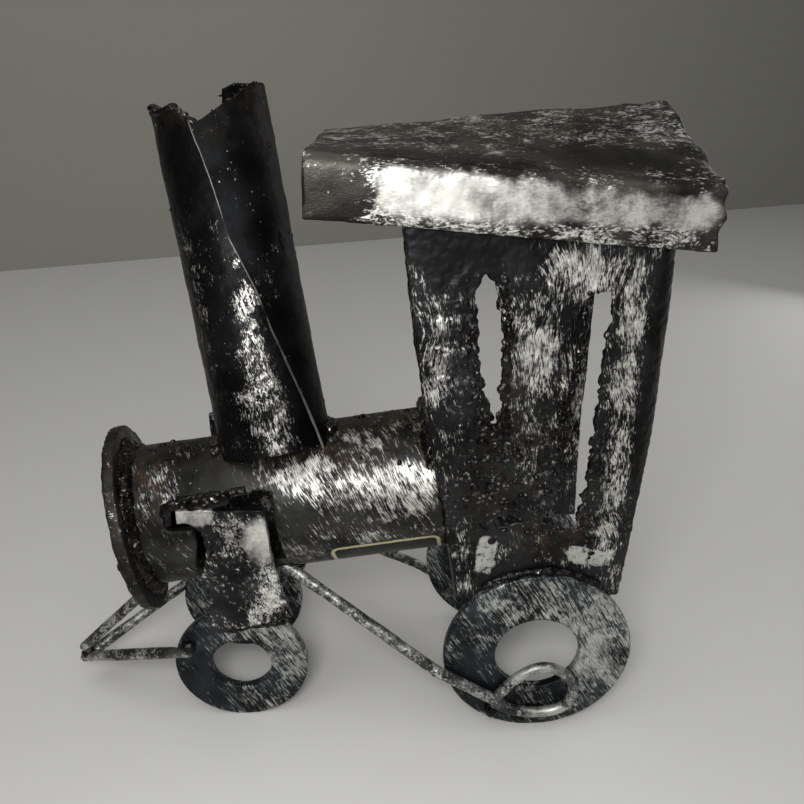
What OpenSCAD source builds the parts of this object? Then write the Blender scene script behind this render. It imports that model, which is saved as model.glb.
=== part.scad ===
// Hand-welded scrap-metal model steam engine.
// Front of the engine towards -X, wheels on the plane z = 0, sizes in millimetres.

/* [Wheels] */
// Outer diameter of the rear washers
rear_wheel_d = 40; // [36:0.5:42]
// Hole in the rear washers
rear_hole_d = 18; // [10:0.5:24]
// Outer diameter of the front washers
front_wheel_d = 29; // [26:0.5:30]
// Hole in the front washers
front_hole_d = 13; // [8:0.5:16]
// Thickness of every washer
wheel_t = 2; // [1.5:0.1:3]
// Width over the outer faces of the rear washers
rear_track = 36; // [34:0.5:40]
// Width over the outer faces of the front washers
front_track = 24.4; // [22:0.2:26]
// Distance between the near side's two wheel centres
wheelbase = 64.1; // [60:0.1:68]
// How far the far front washer sits ahead of the near one
front_stagger = 3.4; // [0:0.2:5]
// How far the far rear washer sits ahead of the near one
rear_stagger = 1.4; // [0:0.2:3]

/* [Boiler] */
// Outer diameter of the boiler tube
boiler_d = 30; // [28:0.5:32]
// Wall of the boiler tube
boiler_wall = 1.8; // [1.2:0.1:2.6]
// Length of the boiler tube
boiler_len = 64.6; // [60:0.5:70]
// Upward slope of the boiler towards the cab, in degrees
boiler_tilt = 7.2; // [4:0.1:9]
// How far the round front plate is turned off square, in degrees
front_plate_turn = 10; // [0:0.5:12]
// Diameter of the round plate that closes the front
front_plate_d = 40; // [36:0.5:42]
// Thickness of the round front plate
front_plate_t = 2.4; // [2:0.5:4]

/* [Chimney] */
// Outer diameter of the chimney pipe
chimney_d = 22.6; // [20:0.1:24]
// Wall of the chimney pipe
chimney_wall = 1.6; // [1.2:0.1:2.4]
// Length of the chimney pipe
chimney_len = 75.5; // [68:0.5:78]
// Forward lean of the chimney, in degrees
chimney_lean = 8.8; // [4:0.1:10]
// Lean of the chimney towards the far side, in degrees
chimney_side_lean = 15.5; // [6:0.5:17]

/* [Cab and roof] */
// Thickness of the cab's and roof's sheet
sheet_t = 1.2; // [1:0.1:1.6]
// Width over the outer faces of the cab's side plates
cab_w = 32; // [31:0.2:32]
// Width of the roof across the engine
roof_w = 36; // [35:0.5:40]
// Bend radius of the roof over the near side
roof_bend = 2.4; // [2:0.1:4]
// Fall of the roof towards the near side at its front end, in degrees
roof_fall_front = 2; // [0:0.5:4]
// Fall of the roof towards the near side at its rear end, in degrees
roof_fall_rear = 22; // [12:0.5:24]

/* [Rods] */
// Diameter of the welding-rod wire
rod_d = 2.4; // [2:0.1:3.2]
// Diameter of the wire in the near rod's loop
loop_d = 2; // [1.6:0.1:2.4]

/* [Hidden] */
$fn = 64;

blackened = [0.13, 0.13, 0.14];
dark_steel = [0.17, 0.17, 0.18];
brushed = [0.55, 0.55, 0.54];
slag = [0.10, 0.09, 0.08];
bare_wire = [0.34, 0.34, 0.34];

// Everything below counts x from the near rear washer's centre and y from the middle of the
// track; painted() then moves it so that the origin is under the middle of the whole model
origin = [39.3, -4.7, 0];

near_front_x = -wheelbase;
far_front_x = near_front_x - front_stagger;
rear_face = rear_track / 2;
front_face = front_track / 2;
side_face = cab_w / 2;

// Where the boiler's axis meets the front of the cab
boiler_rear_x = -20.1;
boiler_rear_z = 54.3;

// Centre of the chimney's lower end
chimney_foot = [-53.9, -1, 62.4];

leg_t = 1.4;
eps = 0.01;

// ---------- helpers ----------

// One sub-part in its colour, moved so that the origin is the model's own
module painted(c) {
    color(c) translate(origin) children();
}

// The boiler's own frame: origin on its axis at the cab, +X along it towards the cab
module on_boiler() {
    translate([boiler_rear_x, 0, boiler_rear_z])
        rotate([0, -boiler_tilt, 0])
            children();
}

// A solid cylinder along X from x0 to x1
module bar_x(d, x0, x1) {
    translate([x0, 0, 0])
        rotate([0, 90, 0])
            cylinder(d = d, h = x1 - x0);
}

// The space that the closed boiler tube fills, used to fit its neighbours to it
module boiler_body() {
    on_boiler() bar_x(boiler_d, -boiler_len - 4, 0);
}

// The round front plate's own frame: origin at the middle of its back, +X through it
module on_front_plate() {
    on_boiler()
        translate([-boiler_len, 0, 0])
            rotate([0, 0, front_plate_turn])
                children();
}

// The chimney's own frame: +Z along the pipe, origin at the middle of its lower end
module on_chimney() {
    translate(chimney_foot)
        rotate([-chimney_side_lean, -chimney_lean, 0])
            children();
}

// A sheet cut to an outline in the XZ plane, its outer face at y and its thickness towards +Y
module side_sheet(outline, y, t) {
    translate([0, y + t, 0])
        rotate([90, 0, 0])
            linear_extrude(height = t)
                polygon(outline);
}

// Round wire through a list of points, cut square at its ends and a little thicker at its bends
module wire(points, d = rod_d) {
    for (i = [1 : 1 : len(points) - 2])
        translate(points[i]) sphere(d = 1.07 * d, $fn = 24);
    for (i = [0 : len(points) - 2])
        wire_run(points[i], points[i + 1], d);
}

// One straight stretch of wire
module wire_run(a, b, d) {
    v = b - a;
    translate(a)
        rotate([0, acos(v[2] / norm(v)), atan2(v[1], v[0])])
            cylinder(d = d, h = norm(v), $fn = 24);
}

// A weld bead of diameter d along a straight corner from a to b
module bead(a, b, d) {
    wire_run(a, b, d);
}

// A weld bead of diameter d round the Z axis at radius r, from angle a0 to a1
module bead_arc(r, d, a0, a1) {
    rotate([0, 0, a0])
        rotate_extrude(angle = a1 - a0, $fn = 64)
            translate([r, 0]) circle(d = d, $fn = 24);
}

// The same round the X axis, counted from +Y towards +Z, in the plane at x
module bead_ring(r, x, d, a0, a1) {
    translate([x, 0, 0])
        rotate([90, 0, 90])
            bead_arc(r, d, a0, a1);
}

// ---------- boiler ----------

// Outlines in the boiler's frame of the windows that the front legs pass through; the notch at
// the top left takes a leg's tab
near_window = [
    [-51.8, -13], [-51.4, -7], [-50.4, -3], [-49.4, 0], [-49.6, 3.2], [-54.6, 3.6],
    [-54.6, 8.4], [-33.2, 8.4], [-33.2, -13]
];
far_window = [[-58, -13], [-58, 9.6], [-36.6, 9.6], [-36.6, -13]];
module boiler_window(side) {
    side_sheet(side < 0 ? near_window : far_window, side < 0 ? -30 : 9.5, side < 0 ? 23.5 : 10);
}

module boiler_tube() {
    painted(brushed)
        difference() {
            on_boiler()
                difference() {
                    bar_x(boiler_d, -boiler_len - 4, 0);
                    bar_x(boiler_d - 2 * boiler_wall, -boiler_len - 5, 1);
                    boiler_window(-1);
                    boiler_window(1);
                }
            before_front_plate();
        }
}

// All the space ahead of the front plate's back face
module before_front_plate() {
    on_front_plate() translate([-10, -30, -30]) cube([10, 60, 60]);
}

module smokebox_plate() {
    painted(blackened)
        on_front_plate()
            bar_x(front_plate_d, -front_plate_t, 0);
}

// ---------- chimney ----------

// What the torch left of the rim, seen from the near side: heights over the lower end for
// the half that faces near and for the half that faces far
rim_near = [
    [-12, 69.6], [-9.6, 69.4], [-8, 67.2], [-5.4, 67.8], [-3.6, 66], [-1.4, 63.2],
    [1.6, 64], [4.6, 66], [7.8, 68], [10.2, 70.6], [12, 71.4]
];
rim_far = [
    [-12, 69.6], [-9, 68], [-6, 66.8], [-2.4, 67.6], [0.2, 70.4], [1, 74.6],
    [3.6, 75.4], [7.2, 74.4], [8.4, 72.2], [12, 71.4]
];

module chimney_pipe() {
    painted(blackened)
        difference() {
            on_chimney()
                difference() {
                    cylinder(d = chimney_d, h = chimney_len);
                    translate([0, 0, -1])
                        cylinder(d = chimney_d - 2 * chimney_wall, h = chimney_len + 2);
                    side_sheet(above(rim_near), -chimney_d, chimney_d);
                    side_sheet(above(rim_far), 0, chimney_d);
                }
            boiler_body();
        }
}

// The area above a line of points, closed well over the pipe
function above(line) = concat(line, [[line[len(line) - 1][0], 90], [line[0][0], 90]]);

// ---------- front legs ----------

// Outline of a leg, x counted from its wheel's centre: a tab at the top left, a torch-cut
// hollow under it, and a foot that widens over the washer
leg_outline = [
    [-9, 55.2], [-3, 55.2], [8.7, 54.6], [9, 46], [10.2, 37], [12.3, 28],
    [6, 26.8], [0, 25], [-4, 24.8], [-5.4, 26.4], [-5, 31.5], [-4.2, 35.5], [-5.6, 39.5],
    [-4.6, 42], [-3.9, 46], [-4.4, 50], [-6.6, 52], [-9, 52.2]
];

module near_front_leg() {
    painted(dark_steel) leg_sheet(near_front_x, -front_face - leg_t);
}

// The far leg is the same plate, with a tongue that stands up past the boiler's shoulder
module far_front_leg() {
    painted(dark_steel) {
        leg_sheet(far_front_x, front_face);
        leg_tongue();
    }
}

module leg_sheet(x, y) {
    translate([x, 0, 0]) side_sheet(leg_outline, y, leg_t);
}

module leg_tongue() {
    translate([far_front_x - 3.4, front_face, 54]) cube([9, leg_t, 10.4]);
}

module leg_sheets() {
    leg_sheet(near_front_x, -front_face - leg_t);
    leg_sheet(far_front_x, front_face);
    leg_tongue();
}

// ---------- wheels ----------

// A washer standing on the floor, its outer face at y; side is -1 near, 1 far
module washer(d, hole, x, y, side) {
    translate([x, y, d / 2])
        rotate([side * 90, 0, 0])
            difference() {
                cylinder(d = d, h = wheel_t, $fn = 96);
                translate([0, 0, -1]) cylinder(d = hole, h = wheel_t + 2);
            }
}

module near_front_wheel() {
    painted(blackened) washer(front_wheel_d, front_hole_d, near_front_x, -front_face, -1);
}

module far_front_wheel() {
    painted(blackened) washer(front_wheel_d, front_hole_d, far_front_x, front_face, 1);
}

module near_rear_wheel() {
    painted(brushed) washer(rear_wheel_d, rear_hole_d, 0, -rear_face, -1);
}

module far_rear_wheel() {
    painted(brushed) washer(rear_wheel_d, rear_hole_d, -rear_stagger, rear_face, 1);
}

module front_washers() {
    washer(front_wheel_d, front_hole_d, near_front_x, -front_face, -1);
    washer(front_wheel_d, front_hole_d, far_front_x, front_face, 1);
}

module rear_washers(hole) {
    washer(rear_wheel_d, hole, 0, -rear_face, -1);
    washer(rear_wheel_d, hole, -rear_stagger, rear_face, 1);
}

// ---------- cab ----------

// Outline of a cab side, x counted from the rear wheels' centre
cab_outline = [
    [-17.4, 34], [-20.3, 56], [-24.4, 79], [-26.9, 106], [-28.6, 119.4],
    [19.4, 113.7], [19.6, 104], [20.4, 91], [20.6, 76], [19, 60], [16.6, 33.4]
];
// The two slots that the torch cut
front_slot = [
    [-13.9, 101.6], [-15.1, 97.5], [-14.3, 90], [-13.6, 84], [-12.6, 78.5], [-10.8, 72.4],
    [-9.6, 79], [-9.9, 88], [-10.4, 95], [-11.9, 100.4]
];
rear_slot = [
    [4.6, 98.4], [8.4, 97.8], [8.9, 94.6], [8.3, 86], [8, 74], [7.6, 64], [6.3, 50.4],
    [2, 49.6], [-1.2, 51.6], [2.4, 58], [3.4, 70], [3.4, 84], [2.6, 93]
];
pinhole = [[-10, 53.2], [-6.6, 53.9], [-4.4, 52.9], [-6.4, 51.2], [-9.2, 51.4]];

// The sheet's section seen from above: flat, then curled in at its rear edge
lip_r = 6;
lip_x = 14.8;
module cab_section() {
    translate([-40, 0]) square([40 + lip_x, sheet_t]);
    translate([lip_x, lip_r])
        intersection() {
            difference() {
                circle(r = lip_r);
                circle(r = lip_r - sheet_t);
            }
            translate([0, -lip_r]) square([lip_r, lip_r - 0.6]);
        }
}

module cab_near_side() {
    painted(dark_steel)
        intersection() {
            translate([0, -side_face, 30])
                linear_extrude(height = 92) cab_section();
            difference() {
                side_sheet(cab_outline, -side_face - 1, lip_r + 2);
                for (hole = [front_slot, rear_slot, pinhole])
                    side_sheet(hole, -side_face - 2, lip_r + 4);
            }
        }
}

// The far side is flat, shorter towards the back, and open from its slot to its foot
far_outline = [
    [-17.4, 34], [-20.3, 56], [-24.4, 79], [-26.9, 106], [-29, 122.7],
    [15, 125], [15.4, 104], [15, 76], [14.6, 60], [15.4, 33.4]
];
far_slot = [
    [-11.5, 96], [-12.5, 84], [-11.6, 62], [-9, 48], [-4, 47], [-3.6, 60], [-4.4, 80], [-7, 96]
];
module cab_far_side() {
    painted(dark_steel)
        difference() {
            side_sheet(far_outline, side_face - sheet_t, sheet_t);
            side_sheet(far_slot, side_face - sheet_t - 1, sheet_t + 2);
        }
}

// The front plate stands square on the boiler and reaches up to the roof's underside
module cab_front_plate() {
    w = side_face - sheet_t;
    painted(dark_steel)
        on_boiler()
            rotate([90, 0, 90])
                linear_extrude(height = sheet_t)
                    polygon([[-w, -23], [w, -23], [w, 68.4], [-w, 65]]);
}

// The roof is one sheet, bent down along the near side and twisted so that its rear end falls
// to the near side. Its section at u, 0 at the front and 1 at the rear, is a list of [t, y, z]
// where t runs from 0 at the flange's lower edge to 1 at the far edge.
roof_front_x = -43.6;
roof_rear_x = 25.2;
bend_steps = 6;
function mix(a, b, u) = a + (b - a) * u;
function roof_fall(u) = mix(roof_fall_front, roof_fall_rear, u);
function roof_section(u, inset) =
    let (y0 = -roof_w / 2 + 0.8 * u + roof_bend, z0 = mix(120, 112.9, u), r = roof_bend - inset,
         f = roof_fall(u), far_y = roof_w / 2 - 0.4)
    concat(
        [[0, y0 - r, mix(111.6, 104.6, u)]],
        [for (i = [0 : bend_steps])
            let (a = (90 - f) * i / bend_steps)
            [0.2 + 0.2 * i / bend_steps, y0 - r * cos(a), z0 + r * sin(a)]],
        [[1, far_y, z0 + r * cos(f) + (far_y - y0 + r * sin(f)) * tan(f)]]
    );
function roof_row(u, inset) = [
    for (p = roof_section(u, inset))
        [mix(roof_front_x + 1.6 * p[0], roof_rear_x + 1.4 * p[0], u), p[1], p[2]]
];

module cab_roof() {
    steps = 16;
    n = bend_steps + 3;
    ring = 2 * n;
    points = [
        for (k = [0 : steps])
            each concat(roof_row(k / steps, 0),
                        [for (j = [n - 1 : -1 : 0]) roof_row(k / steps, sheet_t)[j]])
    ];
    sides = [
        for (k = [0 : steps - 1], j = [0 : ring - 1])
            let (a = k * ring + j, b = k * ring + (j + 1) % ring)
            each [[a, b, b + ring], [a, b + ring, a + ring]]
    ];
    // Each end is capped by quads between the outer and the inner line
    caps = [
        for (k = [0, steps], j = [0 : n - 2])
            let (o = k * ring, a = o + j, b = o + j + 1,
                 c = o + ring - 2 - j, d = o + ring - 1 - j)
            each (k == 0 ? [[a, c, b], [a, d, c]] : [[a, b, c], [a, c, d]])
    ];
    painted(brushed) polyhedron(points = points, faces = concat(sides, caps));
}

// ---------- wires ----------

// The near rod runs from the boiler's underside out to the washer's face, and ends there in
// a loop of the same wire
near_rod_foot = [-53.6, -9.6, 39.6];
near_rod_bend = [-21.6, -rear_face - rod_d / 2, 17.6];
near_rod_end = [-6.8, -rear_face - rod_d / 2, 7.5];
module near_rod_wire() {
    wire([near_rod_foot, near_rod_bend, near_rod_end]);
}

module near_connecting_rod() {
    painted(bare_wire)
        difference() {
            near_rod_wire();
            boiler_body();
        }
}

// The loop is a ring of thinner wire on the washer's face, at the rod's end
loop_center = [1.6, -rear_face - loop_d / 2, 10.8];
loop_r = 5.8;
module near_rod_loop() {
    painted(bare_wire)
        translate(loop_center)
            rotate([90, 0, 0])
                bead_arc(loop_r, loop_d, 0, 360);
}

far_rod_foot = [-53.4, 9.6, 39.2];
far_rod_bend = [-23.4, rear_face + rod_d / 2, 16.8];
far_rod_end = [-10, rear_face + rod_d / 2, 7];
module far_connecting_rod() {
    painted(bare_wire)
        difference() {
            wire([far_rod_foot, far_rod_bend, far_rod_end]);
            boiler_body();
        }
}

// The pilot is one wire bent to a point ahead of the engine, its ends on the front washers
pilot_tip = [-104, 0, 7.2];
pilot_near = [near_front_x - 10.6, -front_face - rod_d / 2, 19.6];
pilot_far = [far_front_x - 11.4, front_face + rod_d / 2, 20];
module pilot_run() {
    wire([pilot_near, pilot_tip, pilot_far]);
}

module pilot_wire() {
    painted(bare_wire)
        difference() {
            pilot_run();
            front_washers();
        }
}

// A straight wire from the pilot's point up to the lower edge of the round front plate
brace_start = pilot_tip + [-0.1, 0, 2.7];
brace_end = [-85, -1, 28];
module pilot_brace() {
    painted(bare_wire)
        difference() {
            wire([brace_start, brace_end]);
            on_front_plate() bar_x(front_plate_d, -front_plate_t, 20);
        }
}

// ---------- welds ----------

// Fillet between the boiler and the back of the round front plate
module smokebox_weld() {
    painted(slag)
        difference() {
            on_front_plate()
                rotate([0, 90, 0])
                    cylinder(r1 = boiler_d / 2 + 2.6, r2 = boiler_d / 2, h = 2.6);
            boiler_body();
        }
}

// Bead round the far side of the chimney's foot, where it rests on the boiler
module chimney_weld() {
    painted(slag)
        difference() {
            on_chimney()
                translate([0, 0, 2.2])
                    bead_arc(chimney_d / 2 + 0.4, 3.4, -22, 202);
            boiler_body();
            on_chimney() translate([0, 0, -6]) cylinder(d = chimney_d, h = 20);
        }
}

module boiler_cab_weld() {
    painted(slag)
        difference() {
            on_boiler() bead_ring(boiler_d / 2 + 0.7, -0.7, 3.2, 34, 146);
            boiler_body();
            on_boiler() translate([0, -30, -40]) cube([60, 60, 120]);
        }
}

// Beads down the two inner corners where the front plate meets the sides
module cab_corner_welds() {
    y = side_face - sheet_t;
    painted(slag)
        difference() {
            for (s = [-1, 1])
                on_boiler() bead([sheet_t, s * y, -16], [sheet_t, s * y, 60], 2.6);
            on_boiler() translate([-10, -30, -40]) cube([10 + sheet_t, 60, 140]);
            for (s = [-1, 1])
                translate([-40, s > 0 ? y : -y - 10, 20]) cube([80, 10, 110]);
        }
}

// Height of the roof's underside at x, y
function roof_u(x) = (x - roof_front_x) / (roof_rear_x - roof_front_x);
function roof_under(x, y) =
    let (q = roof_section(roof_u(x), sheet_t), p = q[len(q) - 2])
    p[2] + (y - p[1]) * tan(roof_fall(roof_u(x)));

// Tacks in the corners between the sides' inner faces and the roof's underside
module roof_welds() {
    w = side_face - sheet_t;
    painted(slag)
        for (s = [-1, 1], x = [-22, -13, -4, 5])
            difference() {
                translate([x, s * (w - 0.3), roof_under(x, s * w) - 0.5])
                    sphere(d = 4, $fn = 24);
                translate([x - 5, s > 0 ? w : -w - 5, 100]) cube([10, 5, 40]);
                translate([x, s * w, roof_under(x, s * w) - 0.25])
                    rotate([roof_fall(roof_u(x)), s < 0 ? 5.9 : -3.2, 0])
                        translate([-5, -5, 0]) cube([10, 10, 6]);
            }
}

// Beads that hold the legs' tops in the boiler's windows
module front_leg_welds() {
    painted(slag)
        difference() {
            on_boiler() {
                bead([-52, -12, 8.9], [-38, -12, 8.9], 1.8);
                bead([-57, 12, 8.9], [-52, 12, 8.9], 1.8);
            }
            boiler_body();
            leg_sheets();
        }
}

// Beads between the legs' feet and their washers
module front_wheel_welds() {
    painted(slag)
        difference() {
            for (s = [-1, 1]) {
                x = s < 0 ? near_front_x : far_front_x;
                bead([x - 3.6, s * front_face, 24.8], [x + 10.6, s * front_face, 27], 2.4);
            }
            leg_sheets();
            front_washers();
        }
}

// Beads between the rear washers' rims and the feet of the cab's sides
module rear_wheel_welds() {
    painted(slag)
        difference() {
            for (s = [-1, 1])
                translate([s < 0 ? 0 : -rear_stagger, s * side_face, rear_wheel_d / 2])
                    rotate([90, 0, 0])
                        bead_arc(rear_wheel_d / 2, 2.4, 54, 126);
            rear_washers(1);
            translate([-40, -side_face, 20]) cube([80, cab_w, 110]);
        }
}

// Drops beside the rods' ends, on the boiler's underside and on the rear washers' faces
module rod_welds() {
    painted(slag) {
        for (s = [-1, 1])
            difference() {
                translate([-50.6, s * 7.6, 37.6]) sphere(d = 3.4, $fn = 20);
                boiler_body();
            }
        difference() {
            translate(near_rod_end + [-2.6, 1, -2.2]) sphere(d = 3, $fn = 20);
            washer(rear_wheel_d, 1, 0, -rear_face, -1);
        }
        difference() {
            translate(far_rod_end + [3.1, -1, -0.6]) sphere(d = 3, $fn = 20);
            washer(rear_wheel_d, 1, -rear_stagger, rear_face, 1);
        }
    }
}

module pilot_welds() {
    painted(slag)
        difference() {
            union() {
                translate(pilot_near + [-0.6, 1, 0.4]) sphere(d = 3.6, $fn = 20);
                translate(pilot_far + [-0.6, -1, 0.4]) sphere(d = 3.6, $fn = 20);
                translate(pilot_tip + [0.8, 0, 1.4]) sphere(d = 3.4, $fn = 20);
            }
            pilot_run();
            wire([brace_start, brace_end]);
            front_washers();
        }
}

// ---------- assembly ----------

boiler_tube();
smokebox_plate();
chimney_pipe();
near_front_leg();
far_front_leg();
near_front_wheel();
far_front_wheel();
near_rear_wheel();
far_rear_wheel();
cab_near_side();
cab_far_side();
cab_front_plate();
cab_roof();
pilot_wire();
pilot_brace();
near_connecting_rod();
near_rod_loop();
far_connecting_rod();
smokebox_weld();
chimney_weld();
boiler_cab_weld();
cab_corner_welds();
roof_welds();
front_leg_welds();
front_wheel_welds();
rear_wheel_welds();
rod_welds();
pilot_welds();
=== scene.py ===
"""Looks of a hand-welded model steam engine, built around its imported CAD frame."""

import logging
import math
from dataclasses import dataclass, field
from enum import Enum
from typing import Callable, Iterable, Sequence, Union

import bpy
import numpy as np
from mathutils import Matrix, Vector
from mathutils.noise import noise_vector, seed_set


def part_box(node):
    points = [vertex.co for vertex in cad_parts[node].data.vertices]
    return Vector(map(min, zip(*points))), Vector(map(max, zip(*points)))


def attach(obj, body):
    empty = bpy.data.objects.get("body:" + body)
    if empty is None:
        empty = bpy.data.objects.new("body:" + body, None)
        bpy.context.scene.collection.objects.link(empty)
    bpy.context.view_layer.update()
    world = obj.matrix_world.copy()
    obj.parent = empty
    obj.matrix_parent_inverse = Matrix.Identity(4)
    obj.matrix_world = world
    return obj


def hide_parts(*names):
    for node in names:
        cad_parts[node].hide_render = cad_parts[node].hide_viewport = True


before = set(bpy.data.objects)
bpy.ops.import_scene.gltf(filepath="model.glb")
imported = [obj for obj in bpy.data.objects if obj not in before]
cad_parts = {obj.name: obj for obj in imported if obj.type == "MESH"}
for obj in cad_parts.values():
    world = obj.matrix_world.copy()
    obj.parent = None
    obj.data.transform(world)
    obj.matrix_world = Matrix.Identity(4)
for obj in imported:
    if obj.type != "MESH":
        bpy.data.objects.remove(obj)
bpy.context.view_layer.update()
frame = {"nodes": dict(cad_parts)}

LOG = logging.getLogger("steam_engine")
MM = 0.001
NOISE_SEED = 7  # without one, noise_vector starts from the clock

Triple = tuple[float, float, float]
Array = np.ndarray
Piece = bpy.types.Object
Push = Callable[[Array], Array]


# ---- places


class Shop:
    """Where things stand: the workshop's zero is on the floor, at the rear wheels' centres.

    Across the engine it lies a little behind the near wheel's outer face, in the middle.
    """

    wheel_low, wheel_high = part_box("near_rear_wheel")
    face_to_middle = 0.018
    zero = Vector(((wheel_low.x + wheel_high.x) / 2, wheel_low.y + face_to_middle, 0.0))

    @classmethod
    def at(cls, x: float, y: float, z: float) -> Vector:
        """A point given in millimetres from the workshop's zero, in the row frame's metres."""
        return cls.zero + Vector((x, y, z)) * MM

    @classmethod
    def local(cls, points: Array) -> Array:
        """Row-frame points in metres as millimetres from the workshop's zero."""
        return (points - np.array(cls.zero)) / MM

    @classmethod
    def row(cls, points: Array) -> Array:
        """Millimetres from the workshop's zero as row-frame points in metres."""
        return points * MM + np.array(cls.zero)


def turned_frame(origin: Triple, steps: Sequence[tuple[str, float]]) -> Array:
    """A 4x4 frame in workshop millimetres.

    Args:
        origin: The frame's origin.
        steps: Axis and angle in degrees of each turn, the first applied first.

    Returns:
        The matrix that takes the frame's own points to workshop points.
    """
    m = Matrix.Identity(4)
    for axis, angle in steps:
        m = Matrix.Rotation(math.radians(angle), 4, axis) @ m
    return np.array(Matrix.Translation(Vector(origin)) @ m)


BOILER_TILT = 7.2
BOILER = turned_frame((-20.1, 0.0, 54.3), [("Y", -BOILER_TILT)])
CHIMNEY = turned_frame((-53.9, -1.0, 62.4), [("X", -15.5), ("Y", -8.8)])


def into(matrix: Array, points: Array) -> Array:
    """Workshop points in a frame's own coordinates."""
    inverse = np.linalg.inv(matrix)
    return points @ inverse[:3, :3].T + inverse[:3, 3]


def out_of(matrix: Array, points: Array) -> Array:
    """A frame's own points in workshop coordinates."""
    return points @ matrix[:3, :3].T + matrix[:3, 3]


# ---- shader graphs


def operator(operation: str, mirrored: bool = False) -> Callable[["Value", "Number"], "Value"]:
    """An operator's method, which adds a Math node; mirrored puts the value itself on the right."""

    def method(self: "Value", other: "Number") -> "Value":
        """Joins the value and another number or value."""
        pair = (other, self) if mirrored else (self, other)
        return self.graph.maths(operation, *pair)

    return method


class Value:
    """A shader socket that takes part in arithmetic; | joins masks and & crosses them."""

    def __init__(self, graph: "Graph", socket: bpy.types.NodeSocket) -> None:
        """Wraps one output socket of a graph."""
        self.graph = graph
        self.socket = socket

    __add__ = __radd__ = operator("ADD")
    __sub__ = operator("SUBTRACT")
    __rsub__ = operator("SUBTRACT", mirrored=True)
    __mul__ = __rmul__ = operator("MULTIPLY")
    __truediv__ = operator("DIVIDE")
    __pow__ = operator("POWER")
    __or__ = operator("MAXIMUM")
    __and__ = operator("MINIMUM")

    def step(self, low: float, high: float) -> "Value":
        """A smooth step from 0 at low to 1 at high, either of which may be the larger."""
        if low > high:
            return 1.0 - self.step(high, low)
        made = self.graph.node("ShaderNodeMapRange", {"interpolation_type": "SMOOTHSTEP"},
                               Value=self, From_Min=low, From_Max=high)
        return Value(self.graph, made.outputs[0])


Number = Union[float, Value]


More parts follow.
